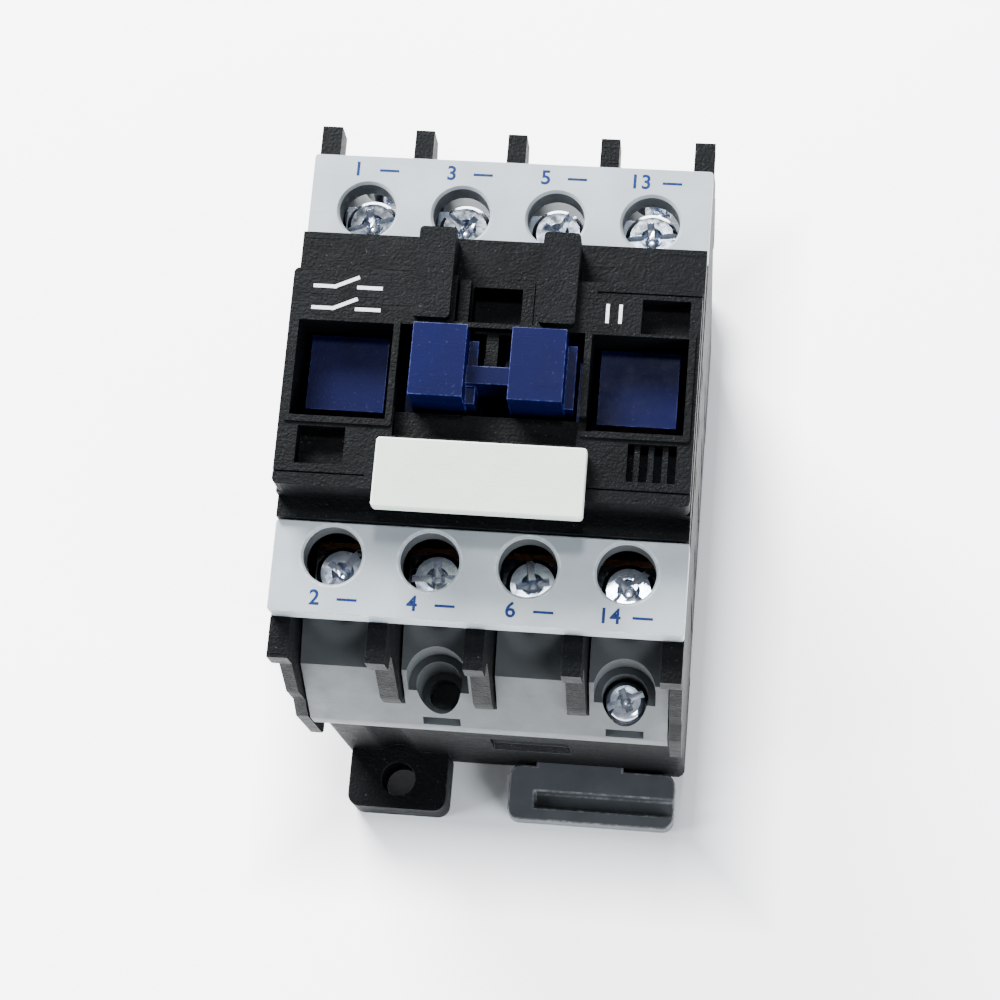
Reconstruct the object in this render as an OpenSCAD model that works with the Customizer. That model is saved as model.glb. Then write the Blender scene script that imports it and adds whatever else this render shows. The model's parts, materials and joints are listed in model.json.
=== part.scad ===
// Four-pole contactor (magnetically operated control relay) for a 35 mm rail.
// Frame: origin at the middle of the back plane, X along the pole row,
// +Y to the line terminals, +Z to the front.

/* [Overall] */
// Width of the whole device
width = 45; // [45:0.5:46]
// Number of poles side by side
poles = 4; // [4]
// Distance from one pole to the next
pole_pitch = 10.63; // [10.6:0.01:10.65]
// Height of the base housing between its end walls
base_h = 61.6; // [61:0.1:62]
// Distance of each mounting lug's end from the middle
lug_reach = 38.5; // [38.5:0.1:39.5]
// Level where the base housing meets the contact housing
parting_z = 42; // [42]
// General wall thickness of the mouldings
wall = 1.6; // [1.4:0.1:1.8]

/* [Front] */
// Level of the front face of the terminal covers
cover_z = 71; // [70.8:0.1:71.2]
// Thickness of the terminal covers
cover_t = 3; // [2.5:0.1:3]
// Edge of each terminal cover nearest the middle
cover_in = 16.3; // [16.3:0.1:16.5]
// Outer edge of each terminal cover
cover_out = 26.5; // [26:0.1:26.6]
// Level of the front plate
plate_z = 77; // [76.5:0.1:77.2]
// Level of the band between the front plate and the line terminal cover
band_z = 73.4; // [73:0.1:74]
// Level of the foremost faces of the carrier
carrier_z = 80; // [79:0.1:80]
// Level of the outer carrier windows' faces
flag_z = 73; // [72.5:0.1:74]

/* [Terminals] */
// Distance of the terminal screws from the middle
screw_y = 20; // [19.9:0.1:20.1]
// Radius of the screwdriver holes in the terminal covers
driver_r = 3.2; // [3.1:0.05:3.3]
// Radius of the terminal screws' shank
shank_r = 1.72; // [1.7:0.01:1.74]
// Radius of the terminal screws' heads
head_r = 3; // [2.8:0.05:3]
// How far the line side's clamps stand open
clamp_open = 3.7; // [3:0.1:3.7]

/* [Coil and magnet] */
// Gap between the fixed core and the armature when released
air_gap = 5; // [5:0.1:5.2]
// Half width of the magnet's middle leg
leg_w = 5; // [4.5:0.1:5]
// Half depth of the lamination stack
stack = 7.5; // [7:0.1:7.5]
// Distance of the coil terminal screws from the middle
coil_y = 29.9; // [29.8:0.1:30]
// Outer face of the coil terminal blocks
coil_out = 33.6; // [33.4:0.1:33.8]
// Radius of the screwdriver wells of the coil terminals
well_r = 2.65; // [2.6:0.05:2.8]

/* [Rail] */
// Width of the rail that the base clips to
rail_w = 35; // [35]
// Level of the channel floor that the rail's flanges seat on
channel_z = 4.5; // [4.5:0.1:4.8]
// Radius of the mounting holes in the lugs
mount_r = 2.25; // [2.1:0.05:2.3]
// Distance of the mounting holes from the middle, along Y
mount_y = 34.6; // [34.6:0.1:35]
// Distance of the mounting holes from the middle, along X
mount_x = 15; // [14.5:0.1:15.5]

/* [Hidden] */
$fn = 48;
eps = 0.01;
half_w = width / 2;
half_base = base_h / 2;
floor_z = 7.5;
// Pole centres, and the barriers between and beside them
pole_x = [for (i = [0 : poles - 1]) (i - (poles - 1) / 2) * pole_pitch];
inner_barriers = [for (i = [1 : poles - 1]) (i - poles / 2) * pole_pitch];
barrier_t = 2.15;
side_t = 1.4;
barrier_reach = 31.1;
barrier_foot = 32.2;
barrier_top = 68.3;
tooth_z = 64.8;
end_tooth_t = 2.3;
ear_low = 33.5;
cover_bottom = cover_z - cover_t;
// Level where the front cover closes the arc chambers
chamber_top = 66;
// Contact levels
bar_z = 55.5;
bar_t = 1.5;
tip_y = 8.6;
tip_r = 1.9;
tip_h = 1.2;
contact_gap = 3.6;
bridge_t = 1.2;
bridge_z = bar_z + bar_t + tip_h + contact_gap + tip_h;
bridge_w = 5.6;
window_w = 6.2;
window_top = bridge_z + 7;
tower_w = 8.6;
tower_d = 8.5;
block_w = 5.85;
block_d = 8.1;
// Terminal levels
post_z = plate_z + 0.9;
plate_t = 1.6;
clamp_z = bar_z + bar_t + 0.2;
head_z = clamp_z + plate_t + 0.05;
head_h = 4;
bar_out = 22.8;
// Magnet levels
cushion_t = 1.5;
core_z = floor_z + cushion_t;
yoke_t = 6.5;
core_top = 31;
outer_leg = [14, 19];
armature_z = core_top + air_gap;
yoke_z = 43.5;
armature_top = 50;
pin_z = 47;
pin_r = 1.25;
// Coil levels
bobbin_z = 16;
bobbin_top = 36;
flange_t = 1.2;
flange_x = 13.2;
flange_y = 16;
tube_gap = 0.4;
tube_t = 1.2;
arm_z = parting_z + 0.2;
block_in = 24.7;
block_rear = 56.95;
lip_in = 23.9;
lip_low = 55.8;
block_front = 55.7;
shelf_z = 45.2;
incline_y = 29.2;
block_x = 20.9;
// Coil terminal places: [x, side], side -1 is the load side
coil_sites = [[pole_x[3], -1], [pole_x[0], 1], [pole_x[3], 1]];
coil_bar_z = 45.5;
recess_z = 52;
recess_r = 3.5;
coil_head_r = 2.25;
coil_shank_r = 1.45;
// Fastener places
post_x = 18.6;
post_y = 22;

function side_sign(side) = side == "line" ? 1 : -1;
function ring_point(path_r, a, z, r, b) = [
    (path_r + r * cos(b)) * cos(a), (path_r + r * cos(b)) * sin(a), z + r * sin(b)
];

// A box between two corners
module box(lo, hi) {
    translate(lo) cube(hi - lo);
}

// A box with its four upright edges rounded
module round_box(lo, hi, r) {
    translate([0, 0, lo.z]) linear_extrude(hi.z - lo.z) round_rect([lo.x, lo.y], [hi.x, hi.y], r);
}

// A rectangle between two corners with round corners
module round_rect(lo, hi, r) {
    translate([lo.x + r, lo.y]) square([hi.x - lo.x - 2 * r, hi.y - lo.y]);
    translate([lo.x, lo.y + r]) square([hi.x - lo.x, hi.y - lo.y - 2 * r]);
    for (x = [lo.x + r, hi.x - r], y = [lo.y + r, hi.y - r]) translate([x, y]) circle(r, $fn = 32);
}

// An outline in the Y-Z plane, extruded along X between two positions
module slab_x(x0, x1, points) {
    translate([x0, 0, 0]) rotate([90, 0, 90]) linear_extrude(x1 - x0) polygon(points);
}

// A helical spring along +Z from z0 to z1
module coil_spring(mean_r, wire_r, z0, z1, turns) {
    sides = 8;
    per_turn = 20;
    steps = turns * per_turn;
    rise = (z1 - z0 - 2 * wire_r) / steps;
    points = [for (i = [0 : steps], j = [0 : sides - 1])
        ring_point(mean_r, i * 360 / per_turn, z0 + wire_r + i * rise, wire_r, j * 360 / sides)];
    walls = [for (i = [0 : steps - 1], j = [0 : sides - 1]) [
        i * sides + j, i * sides + (j + 1) % sides,
        (i + 1) * sides + (j + 1) % sides, (i + 1) * sides + j
    ]];
    first = [for (j = [sides - 1 : -1 : 0]) j];
    last = [for (j = [0 : sides - 1]) steps * sides + j];
    polyhedron(points, concat(walls, [first], [last]), convexity = 10);
}

// Carries out its children on both terminal sides
module both_ends() {
    children();
    mirror([0, 1, 0]) children();
}

// Carries out its children on both flanks
module both_flanks() {
    children();
    mirror([1, 0, 0]) children();
}

// ---- Housings ----

module lug() {
    difference() {
        round_box([-21.5, -lug_reach, 0], [-8.5, -half_base + 1, 6.5], 1.6);
        translate([-mount_x, -mount_y, -1]) cylinder(r = mount_r, h = 9);
    }
}

// The slot that the rail latch slides in
module latch_slot() {
    box([2.7, -half_base - 1, 0.3], [14.8, -rail_w / 2 + 0.5, channel_z + 0.1]);
}

module base_housing() {
    color([0.1, 0.1, 0.11]) {
        difference() {
            union() {
                round_box([-half_w, -half_base, 0], [half_w, half_base, parting_z], 1);
                lug();
                rotate(180) lug();
            }
            // Inside of the shell, above the floor
            difference() {
                box([wall - half_w, wall - half_base, floor_z], [half_w - wall, half_base - wall, parting_z + 1]);
                for (x = [-post_x, post_x], y = [-post_y, post_y])
                    translate([x, y, floor_z - 1]) cylinder(r = 2.6, h = parting_z);
            }
            // Rail channel with its undercut behind the fixed hook
            box([-half_w - 1, -rail_w / 2 - 0.2, -1], [half_w + 1, rail_w / 2 - 1.7, channel_z]);
            box([-half_w - 1, 0, 3], [half_w + 1, rail_w / 2 + 0.2, channel_z]);
            latch_slot();
            // Housing screws and their heads
            for (x = [-post_x, post_x], y = [-post_y, post_y]) translate([x, y, -1]) {
                cylinder(r = 1.75, h = parting_z + 2);
                cylinder(r = 3, h = 4);
            }
            // Grooves beside the mounting holes for a screwdriver
            for (turn = [0, 180]) rotate(turn) translate([-mount_x, -mount_y, 6.5]) cylinder(r = 4.6, h = 24);
            // Grip recess in the load-side wall
            slab_x(-2, 8, [
                [-half_base - 1, 12], [-half_base - 1, 22], [0.8 - half_base, 20], [0.8 - half_base, 14]
            ]);
            // Vent slots in the flanks
            both_flanks() for (i = [-2 : 2])
                round_box([half_w - 0.7, i * 7 - 1.2, 14], [half_w + 1, i * 7 + 1.2, 34], 0.3);
        }
        // Stop that the latch spring bears on
        box([7.4, -29.6, channel_z - 3.6], [10.2, -28.2, floor_z - 1]);
    }
}

// Barrier outline in Y-Z: inner edge, foot, throat and tooth
function barrier_outline(inner, low) = [
    [inner, low], [barrier_foot - 1.2, low], [barrier_foot, low + 1.2], [barrier_foot, 54],
    [29.4, 62.8], [29.4, 64], [barrier_reach, tooth_z], [barrier_reach, barrier_top],
    [cover_out + 0.15, barrier_top],
    [cover_out + 0.15, cover_bottom], [cover_in, cover_bottom], [cover_in, chamber_top], [inner, chamber_top]
];

// Ear of a side wall that laps over the end of the base
ear_outline = [
    [half_base + 0.3, ear_low + 1.5], [half_base + 1.5, ear_low], [barrier_foot + 1, ear_low],
    [barrier_foot + 1.4, ear_low + 1],
    [barrier_foot + 1.4, 46], [barrier_foot, 49], [half_base + 0.3, 49]
];

module contact_housing() {
    color([0.1, 0.1, 0.11]) difference() {
        union() {
            both_flanks() both_ends() {
                slab_x(half_w - side_t, half_w, barrier_outline(-eps, parting_z));
                slab_x(half_w - side_t, half_w, ear_outline);
                box([half_w - end_tooth_t, cover_out + 0.15, tooth_z], [half_w - eps, barrier_reach, barrier_top]);
            }
            both_ends() {
                // Barriers between the poles
                for (x = inner_barriers)
                    slab_x(x - barrier_t / 2, x + barrier_t / 2, barrier_outline(10.2, 49.6));
                // Partition with the pedestals that carry the fixed contacts
                box([-half_w + eps, 11, 49.5], [half_w - eps, 24.3, bar_z - 0.02]);
                // Wall between the arc chambers and the terminals
                box([-half_w + eps, 13.8, bar_z + bar_t + 0.05], [half_w - eps, 15.2, chamber_top]);
                // End skirt above the base
                box([-half_w + eps, 22.9, parting_z], [half_w - eps, 24.3, 49.6]);
                // Bosses for the housing screws
                for (x = [-post_x, post_x]) translate([x, post_y, parting_z]) cylinder(r = 2.8, h = 7.6);
            }
        }
        both_ends() {
            // Passage of the coil's terminal arm
            box([-10.4, 22, parting_z - 1], [10.4, 25.4, arm_z + 2.6]);
            for (x = pole_x) {
                // Nut pocket and shank clearance under each terminal
                box([x - 3.1, screw_y - 3.1, bar_z - 3.1], [x + 3.1, screw_y + 3.1, bar_z + 1]);
                translate([x, screw_y, 49]) cylinder(r = 2.1, h = 5);
            }
            for (x = [-post_x, post_x]) translate([x, post_y, parting_z - 1]) cylinder(r = 1.5, h = 7);
        }
        // Slits for the arcs' gases in the flanks
        both_flanks() for (i = [-1 : 1])
            box([half_w - 0.6, i * 6 - 1.4, 58], [half_w + 1, i * 6 + 1.4, 62]);
    }
}

// Opening in the front plate around one outer flag
module flag_window(x) {
    box([x - 5.2, -6.2, 60], [x + 5.2, 4.6, plate_z + 2]);
}

module front_cover() {
    color([0.11, 0.11, 0.12]) {
        difference() {
            union() {
                box([-half_w + 0.1, -cover_in + 0.1, chamber_top], [half_w - 0.1, cover_in - 0.1, 71.8]);
                box([-half_w + 0.1, -13.9, 71.7], [half_w - 0.1, cover_in - 0.1, band_z]);
                round_box([-22.3, -13.9, band_z - 1], [22.3, 10.6, plate_z], 0.6);
                both_flanks() round_box([4.8, 5.4, band_z - 1], [8.8, 15.8, post_z], 0.5);
                // Raised frames around the outer windows
                for (x = [pole_x[0], pole_x[3]])
                    round_box([x - 5.9, -6.9, plate_z - 1], [x + 5.9, 5.3, plate_z + 0.25], 0.4);
            }
            // Space for the carrier below the windows
            box([-half_w + 1.6, -5.2, 65], [half_w - 1.6, 5.2, 70]);
            for (x = [pole_x[0], pole_x[3]]) flag_window(x);
            // Middle window around the two coupling blocks
            box([-10, -4.75, 65], [10, 4.75, plate_z + 1]);
            // Step below the middle window, with the stop at its right end
            box([-9.9, -7.9, plate_z - 1.6], [9.9, -4.7, plate_z + 1]);
            box([9.8, -6.3, plate_z - 0.9], [11.4, -4.7, plate_z + 1]);
            // Seams where the inserts of the mould meet
            for (y = [-12.6, 9.4]) box([10.9, y, plate_z - 0.3], [22.4, y + 0.2, plate_z + 1]);
            box([-22.4, -12.6, plate_z - 0.3], [-12.4, -12.4, plate_z + 1]);
            // Arc chambers under the cover
            both_ends() for (x = pole_x) box([x - 4.1, 5, 65], [x + 4.1, 13.6, 69.5]);
            // Recess between and beside the guide posts
            box([-4.3, 5.3, plate_z - 2.4], [4.3, 10.7, plate_z + 1]);
            // Latching pockets
            box([-2.7, 5.3, band_z - 1.6], [2.7, 10.2, plate_z]);
            box([15.9, 4.9, plate_z - 2.2], [21.1, 8.9, plate_z + 1]);
            box([-20.1, -11.5, plate_z - 2.2], [-14.9, -7.3, plate_z + 1]);
            box([15.4, -11.5, plate_z - 2.2], [20.6, -7.3, plate_z + 1]);
            // Sockets for the marker plate's legs
            for (x = [-8, 8]) box([x - 1.1, -13.2, plate_z - 3], [x + 1.1, -10.8, plate_z + 1]);
        }
        // Ribs that flank the latching pocket and the tee below it
        both_flanks() box([2.9, 5.4, plate_z - 2.6], [4.1, 10.5, plate_z - 0.8]);
        box([-0.65, 0.4, 71.4], [0.65, 5.5, plate_z - 0.8]);
        box([-2.05, 4.3, 71.4], [2.05, 5.5, plate_z - 0.8]);
        // Ribs in the lower right pocket
        for (x = [16.4, 17.9, 19.4]) box([x - 0.3, -11.6, plate_z - 2.4], [x + 0.3, -7.2, plate_z - 0.5]);
    }
}

module terminal_cover(side) {
    s = side_sign(side);
    color([0.66, 0.67, 0.68]) difference() {
        translate([0, s * (cover_in + cover_out) / 2, 0]) round_box(
            [-half_w, -(cover_out - cover_in) / 2, cover_bottom],
            [half_w, (cover_out - cover_in) / 2, cover_z], 0.4);
        for (x = pole_x) translate([x, s * screw_y, cover_bottom - 1]) {
            cylinder(r = driver_r, h = cover_t + 2);
            translate([0, 0, cover_t + 0.7]) cylinder(r1 = driver_r, r2 = driver_r + 0.6, h = 0.6);
        }
    }
}

module marker_plate() {
    color([0.87, 0.89, 0.84]) {
        round_box([-11.25, -16.2, plate_z + 0.02], [11.25, -8.5, plate_z + 1.6], 0.45);
        for (x = [-8, 8]) box([x - 0.9, -13, plate_z - 2.6], [x + 0.9, -11, plate_z + 0.1]);
    }
}

// ---- Rail latch ----

module rail_latch() {
    color([0.3, 0.31, 0.32]) difference() {
        union() {
            // Tongue in the slot, with the lip that goes behind the rail's flange
            box([3, -half_base - 2, 0.6], [14.5, -rail_w / 2 + 0.05, channel_z - 0.2]);
            box([3, -rail_w / 2, 0.6], [14.5, -rail_w / 2 + 1.6, 2.9]);
            // Pull tab outside the end wall
            round_box([-0.5, -lug_reach, 0.6], [21.5, -half_base - 0.4, channel_z - 0.2], 1.5);
        }
        // Window for the spring
        box([6.6, -29.9, 0], [11, -20.55, channel_z]);
        // Groove that leaves a lip to pull on
        box([3, -36.7, 2.6], [22, -34.6, channel_z + 1]);
    }
}

module rail_latch_spring() {
    color([0.75, 0.76, 0.78]) translate([8.8, 0, 2.45]) rotate([-90, 0, 0])
        coil_spring(1.35, 0.25, -28.1, -20.7, 6);
}

module housing_screws() {
    color([0.75, 0.76, 0.78]) for (x = [-post_x, post_x], y = [-post_y, post_y]) translate([x, y, 0]) {
        difference() {
            translate([0, 0, 0.5]) cylinder(r = 2.7, h = 2.4);
            box([-2, -0.3, -1], [2, 0.3, 1.4]);
            box([-0.3, -2, -1], [0.3, 2, 1.4]);
        }
        translate([0, 0, 2.8]) cylinder(r = 1.46, h = 44);
    }
}

// ---- Magnet ----

// An E of laminations with its legs up from a yoke: levels of yoke and legs
module e_core(yoke_lo, yoke_hi, leg_lo, leg_hi) {
    box([-outer_leg[1], -stack, yoke_lo], [outer_leg[1], stack, yoke_hi]);
    box([-leg_w, -stack, leg_lo], [leg_w, stack, leg_hi]);
    both_flanks() box([outer_leg[0], -stack, leg_lo], [outer_leg[1], stack, leg_hi]);
}

module fixed_core() {
    color([0.55, 0.56, 0.58]) difference() {
        e_core(core_z, core_z + yoke_t, core_z, core_top);
        // Grooves for the shading rings
        both_flanks() for (y = [-1.5, 5.4])
            box([outer_leg[0] - 1, y - 0.8, core_top - 2.2], [outer_leg[1] + 1, y + 0.8, core_top + 1]);
    }
}

module shading_rings() {
    color([0.78, 0.47, 0.28]) both_flanks() difference() {
        box([outer_leg[0] - 0.7, -2.2, core_top - 2.1], [outer_leg[1] + 0.7, 6.1, core_top - 0.3]);
        box([outer_leg[0] - 0.02, -0.72, core_top - 3], [outer_leg[1] + 0.02, 4.62, core_top + 1]);
    }
}

module core_cushion() {
    color([0.15, 0.15, 0.15]) round_box([-17, -7, floor_z], [17, 7, core_z], 1.5);
}

module armature_core() {
    color([0.55, 0.56, 0.58]) difference() {
        e_core(yoke_z, armature_top, armature_z, armature_top);
        translate([0, stack + 1, pin_z]) rotate([90, 0, 0]) cylinder(r = pin_r + 0.03, h = 2 * stack + 2);
    }
}

module armature_pin() {
    color([0.75, 0.76, 0.78]) translate([0, 9.5, pin_z]) rotate([90, 0, 0]) cylinder(r = pin_r, h = 19);
}

// ---- Coil ----

module coil_end_block(sites) {
    difference() {
        slab_x(-block_x, block_x, [
            [-block_in, arm_z], [-coil_out, arm_z], [-coil_out, shelf_z],
            [-incline_y, block_front], [-block_in, block_rear], [-lip_in, block_rear],
            [-lip_in, lip_low], [-block_in, lip_low]
        ]);
        // Slots for the barriers of the contact housing
        for (x = inner_barriers) box([x - 1.3, -coil_out - 1, 49.3], [x + 1.3, -lip_in + 1, block_rear + 1]);
        // Screwdriver wells, wire entries and shank holes
        for (x = sites) translate([x, -coil_y, 0]) {
            translate([0, 0, coil_bar_z]) cylinder(r = well_r, h = 12);
            translate([0, 0, recess_z]) cylinder(r = recess_r, h = 12);
            box([-recess_r, -coil_out + coil_y - 1, recess_z], [recess_r, 0, recess_z + 12]);
            translate([0, 0, arm_z + 0.6]) cylinder(r = coil_shank_r + 0.35, h = 12);
            box([-2.2, -coil_out + coil_y - 1, coil_bar_z - 0.02], [2.2, 0, coil_bar_z + 1.4]);
        }
    }
}

module coil_bobbin() {
    tube_x = leg_w + tube_gap + tube_t;
    tube_y = stack + tube_gap + tube_t;
    color([0.5, 0.51, 0.52]) difference() {
        union() {
            for (z = [bobbin_z, bobbin_top - flange_t])
                round_box([-flange_x, -flange_y, z], [flange_x, flange_y, z + flange_t], 2);
            box([-tube_x, -tube_y, bobbin_z], [tube_x, tube_y, bobbin_top]);
            both_ends() {
                box([-10, -flange_y, bobbin_top - 1], [10, -flange_y + 3, arm_z + 2.2]);
                box([-10, -block_in - 0.5, arm_z], [10, -flange_y + 1, arm_z + 2.2]);
            }
            coil_end_block([pole_x[1], pole_x[3]]);
            mirror([0, 1, 0]) coil_end_block([pole_x[0], pole_x[3]]);
        }
        box(
            [-leg_w - tube_gap, -stack - tube_gap, bobbin_z - 1],
            [leg_w + tube_gap, stack + tube_gap, bobbin_top + 1]);
    }
}

module coil_winding() {
    tube_x = leg_w + tube_gap + tube_t + 0.02;
    tube_y = stack + tube_gap + tube_t + 0.02;
    color([0.72, 0.38, 0.16]) difference() {
        round_box([-12.5, -15.3, bobbin_z + flange_t + 0.02], [12.5, 15.3, bobbin_top - flange_t - 0.02], 2.5);
        box([-tube_x, -tube_y, bobbin_z], [tube_x, tube_y, bobbin_top]);
    }
}

module return_spring() {
    color([0.75, 0.76, 0.78]) coil_spring(10.3, 0.45, bobbin_top, yoke_z, 2);
}

// ---- Moving contacts ----

// One pole's tower on the carrier, with its window for the bridge and spring
module tower(x, top) {
    difference() {
        box([x - tower_w / 2, -tower_d / 2, 53], [x + tower_w / 2, tower_d / 2, top]);
        box([x - window_w / 2, -tower_d, bridge_z], [x + window_w / 2, tower_d, window_top]);
    }
}

module contact_carrier() {
    color([0.05, 0.09, 0.3]) {
        for (x = [pole_x[0], pole_x[3]]) tower(x, flag_z);
        for (x = [pole_x[1], pole_x[2]]) tower(x, window_top + 0.9);
        // Coupling blocks that stand out of the front
        both_flanks() box([2.4, -block_d / 2, window_top], [2.4 + block_w, block_d / 2, carrier_z]);
        box([-2.5, -1.9, window_top], [2.5, 0.1, plate_z + 1]);
        for (x = [-2.45, 2.35 + block_w]) box([x, -3.9, window_top], [x + 1.1, 3.2, plate_z]);
        // Beam that joins the towers, and the hub that grips the armature
        box([-tower_w / 2 + pole_x[0], -3.3, 51], [tower_w / 2 + pole_x[3], 3.3, 57]);
        box([-4, -9.6, 50.3], [4, 9.6, 53.5]);
        both_ends() difference() {
            box([-4, stack + 0.2, 44], [4, 9.6, 51]);
            translate([0, 11, pin_z]) rotate([90, 0, 0]) cylinder(r = pin_r + 0.02, h = 5);
        }
    }
}

module moving_contact(i) {
    x = pole_x[i];
    color([0.8, 0.52, 0.3]) box(
        [x - bridge_w / 2, -tip_y - 2.2, bridge_z + eps], [x + bridge_w / 2, tip_y + 2.2, bridge_z + bridge_t]);
    color([0.85, 0.85, 0.84]) both_ends() translate([x, tip_y, bridge_z - tip_h])
        cylinder(r = tip_r, h = tip_h + 0.1);
}

module contact_spring(i) {
    color([0.75, 0.76, 0.78]) translate([pole_x[i], 0, 0])
        coil_spring(1.95, 0.3, bridge_z + bridge_t + 0.02, window_top - 0.02, 4);
}

// ---- Terminals ----

// Fixed contact: bar with its tip, the terminal hole and the nut under it
module fixed_contact(i, side) {
    x = pole_x[i];
    s = side_sign(side);
    mirror([0, s < 0 ? 1 : 0, 0]) {
        color([0.8, 0.56, 0.34]) difference() {
            union() {
                box([x - 2.9, 6.3, bar_z], [x + 2.9, 15.5, bar_z + bar_t]);
                box([x - 4, 15.4, bar_z], [x + 4, bar_out, bar_z + bar_t]);
                box([x - 2.95, screw_y - 2.95, bar_z - 3], [x + 2.95, screw_y + 2.95, bar_z + 0.1]);
            }
            translate([x, screw_y, bar_z - 4]) cylinder(r = shank_r + 0.06, h = 7);
        }
        color([0.85, 0.85, 0.84]) translate([x, tip_y, bar_z + bar_t - 0.1])
            cylinder(r = tip_r, h = tip_h + 0.1);
    }
}

// Cross-slot combination head with a shank below it
module combination_screw(r, h, shank, length) {
    difference() {
        union() {
            cylinder(r = r, h = h - 0.5);
            translate([0, 0, h - 0.5]) cylinder(r1 = r, r2 = r - 0.5, h = 0.5);
        }
        box([-r - 1, -0.4, h - 1.1], [r + 1, 0.4, h + 1]);
        box([-0.4, -r * 0.62, h - 1.6], [0.4, r * 0.62, h + 1]);
        translate([0, 0, h - 1.9]) cylinder(r1 = 0.4, r2 = r * 0.42, h = 1.91);
    }
    translate([0, 0, -length]) cylinder(r = shank, h = length + 0.1);
}

module clamp(i, side) {
    x = pole_x[i];
    s = side_sign(side);
    lift = side == "line" ? clamp_open : 0;
    color([0.72, 0.73, 0.75]) translate([x, s * screw_y, clamp_z + lift]) difference() {
        union() {
            box([-3.8, -3.6, 0], [3.8, 3.6, plate_t]);
            // Side lips that keep the wire under the plate
            both_flanks() box([3.2, -3.6, -0.1], [3.8, 3.6, plate_t]);
        }
        translate([0, 0, -1]) cylinder(r = shank_r + 0.05, h = 4);
        // Grooves that bite the wire
        for (y = [-2.6, 2.6]) box([-3, y - 0.25, -1], [3, y + 0.25, 0.2]);
    }
}

module terminal_screw(i, side) {
    s = side_sign(side);
    lift = side == "line" ? clamp_open : 0;
    turn = [17, -38, 62, 8];
    color([0.74, 0.76, 0.8]) translate([pole_x[i], s * screw_y, head_z + lift])
        rotate(turn[i] + (s < 0 ? 40 : 0)) combination_screw(head_r, head_h, shank_r, 8.6);
}

module at_coil_site(k) {
    site = coil_sites[k];
    translate([site[0], site[1] * coil_y, 0]) mirror([0, site[1] > 0 ? 1 : 0, 0]) children();
}

module coil_terminal(k) {
    color([0.78, 0.74, 0.55]) at_coil_site(k) difference() {
        box([-1.8, -1.8, coil_bar_z + 0.02], [1.8, 1.8, coil_bar_z + 0.9]);
        translate([0, 0, coil_bar_z - 1]) cylinder(r = coil_shank_r + 0.06, h = 4);
    }
}

module coil_clamp(k) {
    color([0.72, 0.73, 0.75]) at_coil_site(k) translate([0, 0, coil_bar_z + 1.1]) difference() {
        cylinder(r = coil_head_r + 0.1, h = 0.9);
        translate([0, 0, -1]) cylinder(r = coil_shank_r + 0.05, h = 3);
    }
}

module coil_screw(k) {
    color([0.74, 0.76, 0.8]) at_coil_site(k) translate([0, 0, coil_bar_z + 2.05])
        rotate(25 + 50 * k) combination_screw(coil_head_r, 2.4, coil_shank_r, 4.6);
}

base_housing();
contact_housing();
front_cover();
terminal_cover("line");  // line_terminal_cover
terminal_cover("load");  // load_terminal_cover
marker_plate();
rail_latch();
rail_latch_spring();
housing_screws();
fixed_core();
shading_rings();
core_cushion();
armature_core();
armature_pin();
coil_bobbin();
coil_winding();
return_spring();
contact_carrier();
for (i = [0 : 3]) {
    n = str(i + 1);
    moving_contact(i);
    contact_spring(i);
    for (side = ["line", "load"]) {
        fixed_contact(i, side);
        clamp(i, side);
        terminal_screw(i, side);
    }
}
for (k = [0 : 2]) {
    n = str(k + 1);
    coil_terminal(k);
    coil_clamp(k);
    coil_screw(k);
}
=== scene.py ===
"""A four-pole contactor: finished surfaces, printing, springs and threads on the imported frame."""
import json
import math

import bmesh
import bpy
from mathutils import Matrix, Vector

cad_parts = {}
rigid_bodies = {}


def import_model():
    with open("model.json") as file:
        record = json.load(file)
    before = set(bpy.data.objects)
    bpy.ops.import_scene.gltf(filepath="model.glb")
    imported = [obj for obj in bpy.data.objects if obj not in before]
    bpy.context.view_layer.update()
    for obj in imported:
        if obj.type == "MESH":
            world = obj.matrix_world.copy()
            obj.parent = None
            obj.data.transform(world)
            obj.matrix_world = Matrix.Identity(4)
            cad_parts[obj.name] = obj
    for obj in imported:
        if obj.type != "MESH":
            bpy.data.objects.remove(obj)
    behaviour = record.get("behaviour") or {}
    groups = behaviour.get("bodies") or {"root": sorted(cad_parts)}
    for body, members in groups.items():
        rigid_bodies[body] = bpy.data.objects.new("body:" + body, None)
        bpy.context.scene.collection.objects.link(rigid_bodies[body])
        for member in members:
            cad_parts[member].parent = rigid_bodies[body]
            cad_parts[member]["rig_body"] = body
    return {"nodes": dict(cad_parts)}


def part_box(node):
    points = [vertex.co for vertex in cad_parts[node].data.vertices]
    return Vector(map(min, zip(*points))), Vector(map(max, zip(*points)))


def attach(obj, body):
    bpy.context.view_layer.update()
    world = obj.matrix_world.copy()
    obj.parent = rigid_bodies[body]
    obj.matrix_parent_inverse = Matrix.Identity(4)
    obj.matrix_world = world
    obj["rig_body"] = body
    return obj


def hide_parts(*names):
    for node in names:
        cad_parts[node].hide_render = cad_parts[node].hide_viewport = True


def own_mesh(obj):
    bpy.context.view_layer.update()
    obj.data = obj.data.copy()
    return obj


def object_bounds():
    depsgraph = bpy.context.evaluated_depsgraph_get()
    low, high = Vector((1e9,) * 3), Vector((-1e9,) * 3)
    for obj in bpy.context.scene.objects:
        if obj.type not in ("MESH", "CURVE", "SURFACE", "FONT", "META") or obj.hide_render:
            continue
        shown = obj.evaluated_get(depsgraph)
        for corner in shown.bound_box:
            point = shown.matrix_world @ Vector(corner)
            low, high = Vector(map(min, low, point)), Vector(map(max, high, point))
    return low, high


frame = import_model()
cad_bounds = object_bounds()

MM = 0.001
POLES = "1234"
SIDES = ("line", "load")
COILS = "123"

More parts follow.
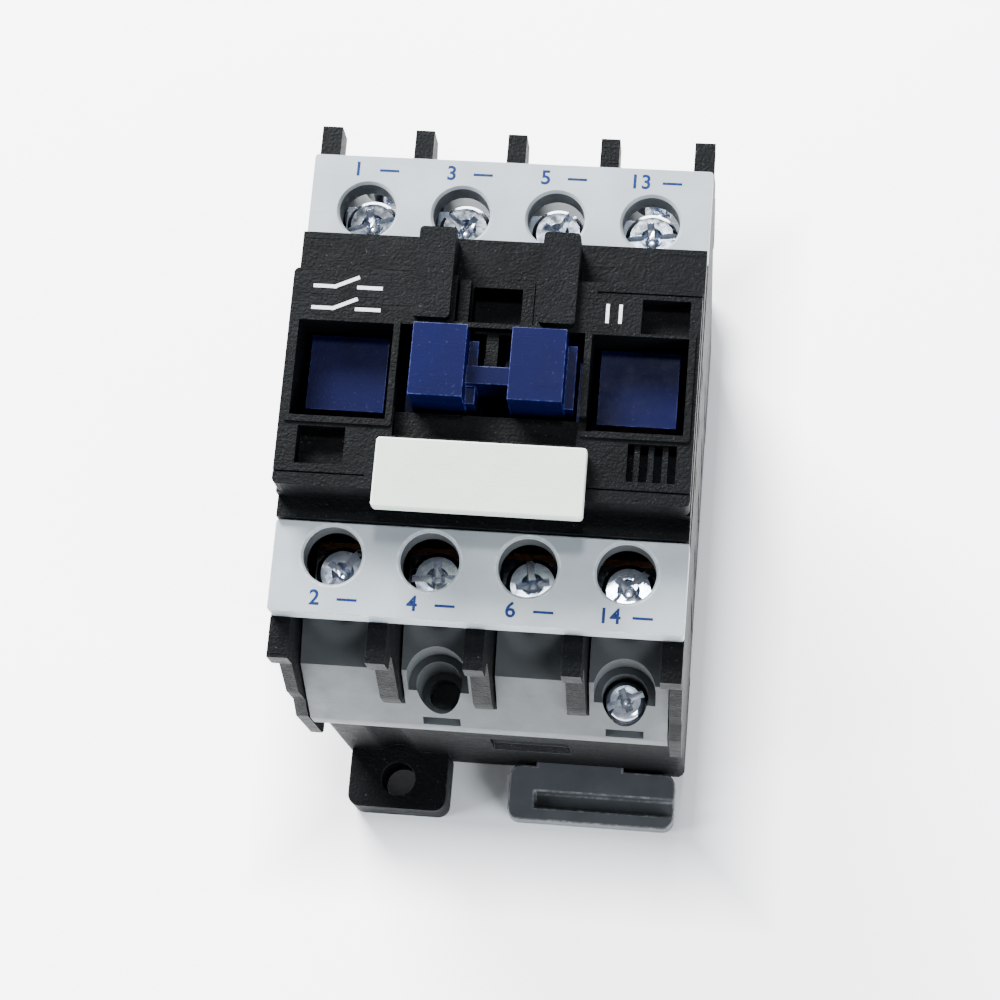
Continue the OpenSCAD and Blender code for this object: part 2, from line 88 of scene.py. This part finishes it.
LENS, SENSOR = 87.3, 36                      # millimetres of the camera, not of the object
CLIP = (0.01, 20)
CAMERA_PLACE_MM = (26.74, -79.47, 323.69)
CAMERA_TURN_DEG = (15.139, 4.404, 4.702)
WORLD_STRENGTH = 0.35
FLOOR_HALF = 2                               # half the floor's side, in metres
FLOOR_GLOW = 3.0
LAMINATION_SCALE = 314                       # the wave texture's scale for a seam every millimetre
DUST_GREY = (0.3, 0.31, 0.32)
SHARP_DEG = 32                               # edges turning more than this are rounded
HOLE_REACH_MM = 3.35                         # just over the radius of a screwdriver hole
PLATE_UNDER_MARKER_MM = 1.6                  # the marker plate stands this far over the front plate
THREAD_START_MM = 0.4
CREST_MM = 0.12
NUMBER_MM = 2.35
NUMBER_ROW_MM = 24.85


# ---------------------------------------------------------------- stage, camera and light

def make_camera():
    """The camera: close, a little to the right, high over the load side."""
    data = bpy.data.cameras.new("camera")
    data.lens = LENS
    data.sensor_width = SENSOR
    data.clip_start, data.clip_end = CLIP
    camera = bpy.data.objects.new("camera", data)
    bpy.context.scene.collection.objects.link(camera)
    camera.location = Vector(CAMERA_PLACE_MM) * MM
    camera.rotation_euler = [math.radians(a) for a in CAMERA_TURN_DEG]
    bpy.context.scene.camera = camera


def add_area(name, place, target, size, power, colour):
    data = bpy.data.lights.new(name, "AREA")
    data.shape = "RECTANGLE"
    data.size, data.size_y = size
    data.energy = power
    data.color = colour
    lamp = bpy.data.objects.new(name, data)
    bpy.context.scene.collection.objects.link(lamp)
    lamp.location = place
    lamp.rotation_euler = (Vector(target) - Vector(place)).to_track_quat("-Z", "Y").to_euler()


def make_lights():
    centre = (0, 0, 0.05)
    add_area("key", (-0.3, 0.5, 0.45), centre, (0.35, 0.25), 25, (0.98, 0.99, 1))
    add_area("fill", (0.55, -0.45, 0.35), centre, (0.4, 0.3), 7, (0.88, 0.94, 1))
    add_area("rim", (-0.6, -0.2, 0.28), centre, (0.2, 0.45), 5, (0.86, 0.93, 1))
    add_area("glint", (0.02, 0.12, 0.55), centre, (0.05, 0.05), 1.2, (0.9, 0.95, 1))
    world = bpy.data.worlds.new("studio")
    world.use_nodes = True
    background = world.node_tree.nodes["Background"]
    background.inputs["Color"].default_value = (0.93, 0.96, 1, 1)
    background.inputs["Strength"].default_value = WORLD_STRENGTH
    bpy.context.scene.world = world


# ---------------------------------------------------------------- materials

class Surface:
    """A node material built around one Principled shader, in object coordinates."""

    def __init__(self, name, **sockets):
        self.material = bpy.data.materials.new(name)
        self.material.use_nodes = True
        self.tree = self.material.node_tree
        self.shader = self.tree.nodes["Principled BSDF"]
        self.place = self.tree.nodes.new("ShaderNodeTexCoord").outputs["Object"]
        for socket, value in sockets.items():
            self.shader.inputs[socket.replace("_", " ")].default_value = value

    def link(self, out, into):
        self.tree.links.new(out, into)

    def stretched(self, scale):
        node = self.tree.nodes.new("ShaderNodeMapping")
        node.inputs["Scale"].default_value = scale
        self.link(self.place, node.inputs["Vector"])
        return node.outputs["Vector"]

    def noise(self, size_mm, detail=3.0, rough=0.55, place=None):
        """Noise whose features are about size_mm across."""
        node = self.tree.nodes.new("ShaderNodeTexNoise")
        node.inputs["Scale"].default_value = 1 / (size_mm * MM)
        node.inputs["Detail"].default_value = detail
        node.inputs["Roughness"].default_value = rough
        self.link(place or self.place, node.inputs["Vector"])
        return node.outputs["Fac"]

    def spread(self, value, low, high, start=0.3, end=0.7):
        """value between start and end, carried to low and high."""
        node = self.tree.nodes.new("ShaderNodeMapRange")
        ends = {"From Min": start, "From Max": end, "To Min": low, "To Max": high}
        for socket, number in ends.items():
            node.inputs[socket].default_value = number
        self.link(value, node.inputs["Value"])
        return node.outputs["Result"]

    def mixed(self, factor, first, second):
        """Two colours mixed by a factor."""
        node = self.tree.nodes.new("ShaderNodeMix")
        node.data_type = "RGBA"
        self.link(factor, node.inputs["Factor"])
        for socket, colour in ((6, first), (7, second)):
            if isinstance(colour, tuple):
                node.inputs[socket].default_value = (*colour, 1)
            else:
                self.link(colour, node.inputs[socket])
        return node.outputs[2]

    def colour(self, out):
        self.link(out, self.shader.inputs["Base Color"])

    def roughness(self, out):
        self.link(out, self.shader.inputs["Roughness"])

    def bumps(self, *layers):
        """Bump layers, each (height output, depth in mm)."""
        normal = None
        for height, depth_mm in layers:
            node = self.tree.nodes.new("ShaderNodeBump")
            node.inputs["Distance"].default_value = depth_mm * MM
            node.inputs["Strength"].default_value = 1
            self.link(height, node.inputs["Height"])
            if normal is not None:
                self.link(normal, node.inputs["Normal"])
            normal = node.outputs["Normal"]
        self.link(normal, self.shader.inputs["Normal"])


def plastic(name, base, mottled, rough, grain_mm, grain_depth, scratch=0.25, sheen=0.4, dust=0.0):
    """Moulded plastic: mould grain, faint mottling, fine scratches, dust and patchy gloss."""
    s = Surface(name, Specular_IOR_Level=sheen)
    patches = s.spread(s.noise(7, 4), 0, 1, 0.35, 0.65)
    body = s.mixed(patches, base, mottled)
    specks = s.spread(s.noise(0.35, 3, 0.6), 0, dust, 0.66, 0.74)
    s.colour(s.mixed(specks, body, DUST_GREY))
    gloss = s.noise(2.2, 5, 0.7)
    s.roughness(s.spread(gloss, rough - 0.07, rough + 0.09))
    grain = s.noise(grain_mm, 2.5, 0.6)
    lines = s.noise(0.5, 2, 0.5, s.stretched((0.06, 1.4, 1)))
    s.bumps((grain, grain_depth), (s.spread(lines, 0, 1, 0.62, 0.72), grain_depth * scratch))
    return s.material


def highlit_worn_edge(name, base, worn, rough, sheen=0.4):
    """The edge of a moulding, painted lighter all along as a highlight, and rubbed lighter still in
    patches.
    """
    s = Surface(name, Specular_IOR_Level=sheen)
    rubbed = s.spread(s.noise(0.9, 5, 0.75), 0, 1, 0.47, 0.62)
    # base is the painted edge highlight; worn is the colour of the rubbed patches.
    s.colour(s.mixed(rubbed, base, worn))
    s.roughness(s.spread(s.noise(0.6, 3), rough - 0.1, rough + 0.1))
    s.bumps((s.noise(0.2, 3, 0.7), 0.012))
    return s.material


def metal(name, base, tint, rough, grain_mm=0.35, depth=0.006, stretch=(1, 1, 1)):
    """Plated or rolled metal with fine working marks and slight stains."""
    s = Surface(name, Metallic=1.0)
    stains = s.spread(s.noise(1.6, 5, 0.7), 0, 1, 0.38, 0.68)
    s.colour(s.mixed(stains, base, tint))
    marks = s.noise(grain_mm, 4, 0.65, s.stretched(stretch))
    s.roughness(s.spread(marks, rough - 0.08, rough + 0.12))
    s.bumps((marks, depth), (s.noise(1.1, 2), depth * 1.5))
    return s.material


def laminated(name):
    """Stacked steel sheets seen on their ground edges: thin seams one after another along Y."""
    s = Surface(name, Metallic=1.0)
    wave = s.tree.nodes.new("ShaderNodeTexWave")
    wave.bands_direction = "Y"
    wave.inputs["Scale"].default_value = LAMINATION_SCALE
    wave.inputs["Distortion"].default_value = 0.4
    wave.inputs["Detail Scale"].default_value = 900
    s.link(s.place, wave.inputs["Vector"])
    seams = s.spread(wave.outputs["Fac"], 0, 1, 0.02, 0.3)
    steel = s.mixed(s.spread(s.noise(2.5, 4), 0, 1), (0.32, 0.33, 0.35), (0.44, 0.45, 0.47))
    s.colour(s.mixed(seams, (0.09, 0.085, 0.08), steel))
    s.roughness(s.spread(s.noise(0.4, 4, 0.7, s.stretched((1, 6, 1))), 0.28, 0.5))
    s.bumps((seams, 0.03))
    return s.material


def enamelled_wire(name):
    """Copper wire under a clear reddish enamel."""
    s = Surface(name, Coat_Weight=0.8, Coat_Roughness=0.12, Metallic=0.85)
    s.colour(s.mixed(s.spread(s.noise(3, 3), 0, 1), (0.42, 0.13, 0.035), (0.62, 0.24, 0.08)))
    s.roughness(s.spread(s.noise(0.8, 3), 0.22, 0.4))
    s.bumps((s.noise(0.3, 2), 0.01))
    return s.material


def ink(name, base, faded):
    """Pad-printed ink with a slightly broken edge."""
    s = Surface(name, Specular_IOR_Level=0.1)
    s.colour(s.mixed(s.spread(s.noise(0.25, 4, 0.7), 0, 1, 0.5, 0.75), base, faded))
    s.roughness(s.spread(s.noise(0.5, 2), 0.42, 0.6))
    s.bumps((s.noise(0.12, 2), 0.004))
    return s.material


def pale_floor():
    """A pale floor that glows, except in a box under and close to the object, where the glow fades
    out: a painted contact shadow.
    """
    s = Surface("floor", Emission_Color=(1, 1, 1, 1))
    parts = s.tree.nodes.new("ShaderNodeSeparateXYZ")
    s.link(s.place, parts.inputs["Vector"])
    shares = []
    # The glow rises from nothing inside the object's footprint: painted contact shadow under and
    # around the object.
    for axis, reach in (("X", 0.024), ("Y", 0.039)):
        size = s.tree.nodes.new("ShaderNodeMath")
        size.operation = "ABSOLUTE"
        s.link(parts.outputs[axis], size.inputs[0])
        shares.append(s.spread(size.outputs[0], 0, FLOOR_GLOW, reach, reach + 0.012))
    glow_past_painted_shadow = s.tree.nodes.new("ShaderNodeMath")
    glow_past_painted_shadow.operation = "MAXIMUM"
    for share, into in zip(shares, glow_past_painted_shadow.inputs):
        s.link(share, into)
    s.link(glow_past_painted_shadow.outputs[0], s.shader.inputs["Emission Strength"])
    s.colour(s.mixed(s.spread(s.noise(60, 3), 0, 1), (0.93, 0.935, 0.94), (0.96, 0.96, 0.96)))
    s.roughness(s.spread(s.noise(25, 3), 0.5, 0.65))
    return s.material


# Each *_EDGE material is lighter than its body: a painted edge highlight, with patches of wear.
BLACK = plastic("black_housing", (0.0012, 0.0016, 0.002), (0.003, 0.0036, 0.0042), 0.55, 0.3, 0.14,
                sheen=0.075, dust=0.12)
BLACK_EDGE = highlit_worn_edge("black_edge", (0.006, 0.0065, 0.0075), (0.03, 0.032, 0.036), 0.42,
                       sheen=0.2)
GREY = plastic("grey_cover", (0.3, 0.335, 0.36), (0.36, 0.392, 0.415), 0.42, 0.3, 0.02)
GREY_EDGE = highlit_worn_edge("grey_edge", (0.38, 0.41, 0.435), (0.55, 0.57, 0.59), 0.4)
# A darker copy of the cover grey for the screwdriver hole walls: painted shade.
HOLE_PAINTED_SHADE = plastic("hole_painted_shade", (0.05, 0.056, 0.06), (0.07, 0.077, 0.082), 0.45, 0.3, 0.02,
                    sheen=0.25)
WHITE = plastic("marker_white", (0.56, 0.64, 0.53), (0.63, 0.7, 0.6), 0.45, 0.35, 0.03, dust=0.5)
WHITE_EDGE = highlit_worn_edge("marker_edge", (0.72, 0.77, 0.7), (0.8, 0.84, 0.78), 0.38)
BLUE = plastic("carrier_blue", (0.001, 0.0019, 0.026), (0.0015, 0.0026, 0.035), 0.42, 0.24, 0.02,
               sheen=0.06, dust=0.06)
BLUE_EDGE = highlit_worn_edge("carrier_edge", (0.0022, 0.0045, 0.065), (0.04, 0.055, 0.19), 0.38,
                      sheen=0.25)
COIL_GREY = plastic("coil_grey", (0.06, 0.067, 0.071), (0.074, 0.081, 0.086), 0.5, 0.25, 0.012,
                    sheen=0.3)
COIL_EDGE = highlit_worn_edge("coil_edge", (0.07, 0.077, 0.081), (0.13, 0.14, 0.147), 0.48, sheen=0.35)
LATCH = plastic("latch_grey", (0.045, 0.05, 0.054), (0.062, 0.067, 0.072), 0.34, 0.3, 0.008,
                sheen=0.35)
LATCH_EDGE = highlit_worn_edge("latch_edge", (0.07, 0.074, 0.079), (0.16, 0.165, 0.17), 0.35)
RUBBER = plastic("cushion_rubber", (0.012, 0.012, 0.012), (0.02, 0.02, 0.02), 0.78, 0.5, 0.03)
ZINC = metal("zinc_steel", (0.8, 0.83, 0.88), (0.48, 0.56, 0.72), 0.17, 0.9, 0.003)
SPRING = metal("spring_steel", (0.56, 0.57, 0.6), (0.45, 0.46, 0.5), 0.3, 0.2, 0.004, (1, 1, 5))
COPPER = metal("copper", (0.7, 0.36, 0.2), (0.52, 0.25, 0.14), 0.32, 0.3, 0.005, (1, 8, 1))
TINNED = metal("tinned_brass", (0.7, 0.67, 0.56), (0.62, 0.58, 0.46), 0.34)
STEEL = laminated("lamination_steel")
WIRE = enamelled_wire("enamelled_copper")
BLUE_INK = ink("blue_ink", (0.006, 0.018, 0.085), (0.03, 0.055, 0.15))
WHITE_INK = ink("white_ink", (0.72, 0.74, 0.74), (0.45, 0.47, 0.47))


# ---------------------------------------------------------------- pieces

def body_of(node):
    """The body that a CAD node rides on."""
    return frame["nodes"][node]["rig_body"]


def add_piece(name, mesh, node, *materials):
    """A new piece on a CAD node's body, with the given materials."""
    piece = bpy.data.objects.new(name, mesh)
    bpy.context.scene.collection.objects.link(piece)
    mesh.materials.clear()
    for material in materials:
        mesh.materials.append(material)
    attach(piece, body_of(node))
    return piece


def applied(piece):
    """The piece with its modifiers made part of its mesh."""
    graph = bpy.context.evaluated_depsgraph_get()
    mesh = bpy.data.meshes.new_from_object(
        piece.evaluated_get(graph), preserve_all_data_layers=True, depsgraph=graph)
    piece.modifiers.clear()
    piece.data = mesh
    return piece


def clean_mesh(node):
    """A CAD node's mesh with its flat faces joined up again."""
    bm = bmesh.new()
    bm.from_mesh(frame["nodes"][node].data)
    bmesh.ops.remove_doubles(bm, verts=bm.verts, dist=1e-6)
    bmesh.ops.dissolve_limit(bm, angle_limit=math.radians(0.3), verts=bm.verts, edges=bm.edges)
    for face in bm.faces:
        face.smooth = True
        face.material_index = 0
    mesh = bpy.data.meshes.new(node)
    bm.to_mesh(mesh)
    bm.free()
    return mesh


def moulded(node, radius_mm, material, edge_material=None, segments=2):
    """A node's shape with rounded edges, which can wear a second material."""
    piece = add_piece(node + "_part", clean_mesh(node), node, material, edge_material or material)
    bevel = piece.modifiers.new("rounded_edges", "BEVEL")
    bevel.width = radius_mm * MM
    bevel.segments = segments
    bevel.limit_method = "ANGLE"
    bevel.angle_limit = math.radians(SHARP_DEG)
    # The bevel faces take the second material: a painted edge highlight with patches of wear.
    bevel.material = 1
    bevel.use_clamp_overlap = True
    piece.modifiers.new("flat_shading", "WEIGHTED_NORMAL").keep_sharp = True
    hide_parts(node)
    return applied(piece)


def tube_mesh(name, path, radius, sides=10, closed=False):
    """A round wire along a list of points."""
    bm = bmesh.new()
    rings = []
    count = len(path)
    for i, point in enumerate(path):
        before = path[(i - 1) % count] if closed or i else point
        after = path[(i + 1) % count] if closed or i < count - 1 else point
        along = (after - before).normalized()
        side = along.cross(Vector((0, 0, 1)))
        side = side.normalized() if side.length > 1e-6 else Vector((1, 0, 0))
        up = side.cross(along)
        spokes = []
        for k in range(sides):
            t = 2 * math.pi * k / sides
            spokes.append(bm.verts.new(point + radius * (math.cos(t) * side + math.sin(t) * up)))
        rings.append(spokes)
    for i in range(count if closed else count - 1):
        one, two = rings[i], rings[(i + 1) % count]
        for k in range(sides):
            beside = (k + 1) % sides
            bm.faces.new((one[k], one[beside], two[beside], two[k])).smooth = True
    if not closed:
        bm.faces.new(rings[0])
        bm.faces.new(reversed(rings[-1]))
    bmesh.ops.recalc_face_normals(bm, faces=bm.faces)
    mesh = bpy.data.meshes.new(name)
    bm.to_mesh(mesh)
    bm.free()
    return mesh


def helix(centre, radius, low, high, turns, per_turn=28, end_coils=0.75):
    """Points up a helix; its first and last stretch of end_coils turns lie flat."""
    points = []
    steps = int(turns * per_turn)
    for i in range(steps + 1):
        turn = i / per_turn
        share = min(max((turn - end_coils) / (turns - 2 * end_coils), 0), 1)
        angle = 2 * math.pi * turn
        level = low + (high - low) * share
        points.append(centre + Vector((radius * math.cos(angle), radius * math.sin(angle), level)))
    return points


def make_spring(node, wire_mm, turns, along="z"):
    """A compression spring that fills a CAD spring node's box."""
    low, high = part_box(node)
    wire = wire_mm * MM
    middle = (low + high) / 2
    radius = (high.x - low.x) / 2 - wire
    if along == "z":
        centre = Vector((middle.x, middle.y, 0))
        path = helix(centre, radius, low.z + wire, high.z - wire, turns)
    else:
        upright = helix(Vector(), radius, low.y + wire, high.y - wire, turns)
        path = [Vector((middle.x + p.x, p.z, middle.z + p.y)) for p in upright]
    piece = add_piece(node + "_wire", tube_mesh(node, path, wire), node, SPRING)
    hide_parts(node)
    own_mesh(piece)


def make_winding():
    """The outermost layer of wire round the bobbin, over a body for the layers below it."""
    low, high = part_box("coil_winding")
    wire = 0.28 * MM
    corner = 2.5 * MM
    half = Vector((high.x - wire, high.y - wire))
    path = []
    pitch = 2 * wire
    turns = int((high.z - low.z - 2 * wire) / pitch)
    spots = [(half.x - corner, half.y - corner, 0), (-half.x + corner, half.y - corner, 90),
             (-half.x + corner, -half.y + corner, 180), (half.x - corner, -half.y + corner, 270)]
    arc = 5
    points = 4 * (arc + 1)
    for turn in range(turns):
        for c, (x, y, start) in enumerate(spots):
            for k in range(arc + 1):
                a = math.radians(start + 90 * k / arc)
                rise = (turn + (c * (arc + 1) + k) / points) * pitch
                across, up = x + corner * math.cos(a), y + corner * math.sin(a)
                path.append(Vector((across, up, low.z + wire + rise)))
    mesh = tube_mesh("coil_winding", path, wire, 6)
    piece = add_piece("coil_winding_turns", mesh, "coil_winding", WIRE)
    inner = add_piece("coil_winding_layers", clean_mesh("coil_winding"), "coil_winding", WIRE)
    inner.data.transform(Matrix.Diagonal((0.965, 0.97, 1, 1)))
    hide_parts("coil_winding")


def make_thread(node, shank_mm, length_mm, pitch_mm=0.6):
    """The thread's crests: a fine helix round the lower part of a screw's shank."""
    low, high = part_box(node)
    centre = Vector(((low.x + high.x) / 2, (low.y + high.y) / 2, 0))
    turns = length_mm / pitch_mm
    start = low.z + THREAD_START_MM * MM
    path = helix(centre, shank_mm * MM, start, start + turns * pitch_mm * MM, turns, 18, 0)
    name = node + "_thread"
    add_piece(name, tube_mesh(name, path, CREST_MM * MM, 5), node, ZINC)


def make_print(name, text, size_mm, place_mm, node, material, weight_mm=0.05):
    """Thin printed characters lying on a face that looks along +Z."""
    curve = bpy.data.curves.new(name, "FONT")
    curve.body = text
    curve.size = size_mm * MM
    curve.extrude = 0.012 * MM
    curve.offset = weight_mm * MM
    curve.align_x = "CENTER"
    curve.align_y = "CENTER"
    curve.space_character = 1.08
    holder = bpy.data.objects.new(name + "_curve", curve)
    bpy.context.scene.collection.objects.link(holder)
    bpy.context.view_layer.update()
    graph = bpy.context.evaluated_depsgraph_get()
    mesh = bpy.data.meshes.new_from_object(holder.evaluated_get(graph))
    bpy.data.objects.remove(holder)
    mesh.transform(Matrix.Translation(Vector(place_mm) * MM))
    mesh.name = name
    add_piece(name, mesh, node, material)


def stroke_mesh(name, strokes, width_mm, level_mm, height_mm=0.024):
    """Flat printed lines from point to point, in millimetres."""
    bm = bmesh.new()
    for i, (a, b) in enumerate(strokes):
        a, b = Vector((*a, level_mm)), Vector((*b, level_mm))
        along = (b - a).normalized()
        across = Vector((-along.y, along.x, 0)) * width_mm / 2
        ends = (a - along * width_mm / 2, b + along * width_mm / 2)
        corners = [ends[0] - across, ends[1] - across, ends[1] + across, ends[0] + across]
        top = [bm.verts.new((c + Vector((0, 0, height_mm + 0.003 * i))) * MM) for c in corners]
        low = [bm.verts.new(c * MM) for c in corners]
        bm.faces.new(top)
        bm.faces.new(list(reversed(low)))
        for k in range(4):
            bm.faces.new((low[k], low[(k + 1) % 4], top[(k + 1) % 4], top[k]))
    mesh = bpy.data.meshes.new(name)
    bm.to_mesh(mesh)
    bm.free()
    return mesh


# ---------------------------------------------------------------- the object

def shade_holes(cover, side):
    """The walls of the screwdriver holes get a darker grey than the strip's front: painted shade
    inside the holes.
    """
    centres = [sum(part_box(f"{side}_screw_{n}"), Vector()) / 2 for n in POLES]
    cover.data.materials.append(HOLE_PAINTED_SHADE)
    for face in cover.data.polygons:
        reach = min((face.center.xy - c.xy).length for c in centres)
        if reach < HOLE_REACH_MM * MM and abs(face.normal.z) < 0.3:
            face.material_index = 2


def make_housings():
    moulded("base_housing", 0.25, BLACK, BLACK_EDGE)
    moulded("contact_housing", 0.16, BLACK, BLACK_EDGE)
    moulded("front_cover", 0.16, BLACK, BLACK_EDGE)
    for side in SIDES:
        shade_holes(moulded(side + "_terminal_cover", 0.14, GREY, GREY_EDGE), side)
    moulded("marker_plate", 0.22, WHITE, WHITE_EDGE, 3)
    moulded("rail_latch", 0.3, LATCH, LATCH_EDGE, 3)
    moulded("coil_bobbin", 0.18, COIL_GREY, COIL_EDGE)
    moulded("core_cushion", 0.2, RUBBER)


def make_carrier():
    moulded("contact_carrier", 0.22, BLUE, BLUE_EDGE, 3)


def make_magnet():
    for node in ("fixed_core", "armature_core"):
        moulded(node, 0.12, STEEL)
    moulded("armature_pin", 0.2, SPRING)
    moulded("shading_rings", 0.15, COPPER)


def make_conductors():
    nodes = ["moving_contact_" + n for n in POLES]
    nodes += [f"{side}_contact_{n}" for side in SIDES for n in POLES]
    for node in nodes:
        moulded(node, 0.1, COPPER)
    for n in COILS:
        moulded("coil_terminal_" + n, 0.08, TINNED)


def make_fasteners():
    nodes = [f"{side}_{kind}_{n}" for side in SIDES for kind in ("screw", "clamp") for n in POLES]
    nodes += [f"coil_{kind}_{n}" for kind in ("screw", "clamp") for n in COILS]
    for node in nodes:
        moulded(node, 0.09, ZINC)
    for side in SIDES:
        for n in POLES:
            make_thread(f"{side}_screw_{n}", 1.64, 3.6)
    for n in COILS:
        make_thread("coil_screw_" + n, 1.38, 2.4, 0.5)
    moulded("housing_screws", 0.12, ZINC)


def make_springs():
    make_spring("return_spring", 0.45, 3)
    for n in POLES:
        make_spring("contact_spring_" + n, 0.3, 5)
    make_spring("rail_latch_spring", 0.25, 7, along="y")


def make_printing():
    """Plain terminal numbers on the covers, and a make-contact sign and bars on the front plate."""
    boxes = [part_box(f"line_screw_{n}") for n in POLES]
    centres = [(low.x + high.x) / 2 / MM for low, high in boxes]
    cover_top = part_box("line_terminal_cover")[1].z / MM
    rows = (("line", NUMBER_ROW_MM, ("1", "3", "5", "13")),
            ("load", -NUMBER_ROW_MM, ("2", "4", "6", "14")))
    for side, row, numbers in rows:
        cover = side + "_terminal_cover"
        for x, number in zip(centres, numbers):
            spot = (x - 1.5, row, cover_top)
            make_print(f"{side}_number_{number}", number, NUMBER_MM, spot, cover, BLUE_INK)
            line = [((x + 1.1, row), (x + 3, row))]
            mark = stroke_mesh(f"{side}_mark_{number}", line, 0.28, cover_top)
            add_piece(mark.name, mark, cover, BLUE_INK)
    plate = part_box("marker_plate")[1].z / MM - PLATE_UNDER_MARKER_MM
    sign = [((-19.8, 8.6), (-17.6, 8.6)), ((-17.6, 8.6), (-15.2, 9.7)), ((-15, 8.6), (-12.6, 8.6)),
            ((-19.8, 6.1), (-17.6, 6.1)), ((-17.6, 6.1), (-15.2, 7.2)), ((-15, 6.1), (-12.6, 6.1))]
    bars = [((12.2, 8), (12.2, 6.2)), ((13.6, 8), (13.6, 6.2))]
    for name, strokes, width_mm in (("contact_sign", sign, 0.4), ("bar_sign", bars, 0.36)):
        add_piece(name, stroke_mesh(name, strokes, width_mm, plate), "front_cover", WHITE_INK)


def make_floor():
    mesh = bpy.data.meshes.new("floor")
    corners = [(x * FLOOR_HALF, y * FLOOR_HALF, 0) for x, y in ((-1, -1), (1, -1), (1, 1), (-1, 1))]
    mesh.from_pydata(corners, [], [(0, 1, 2, 3)])
    mesh.materials.append(pale_floor())
    floor = bpy.data.objects.new("floor", mesh)
    bpy.context.scene.collection.objects.link(floor)
    floor.location.z = cad_bounds[0].z


make_camera()
make_lights()
make_floor()
make_housings()
make_carrier()
make_magnet()
make_conductors()
make_fasteners()
make_springs()
make_winding()
make_printing()
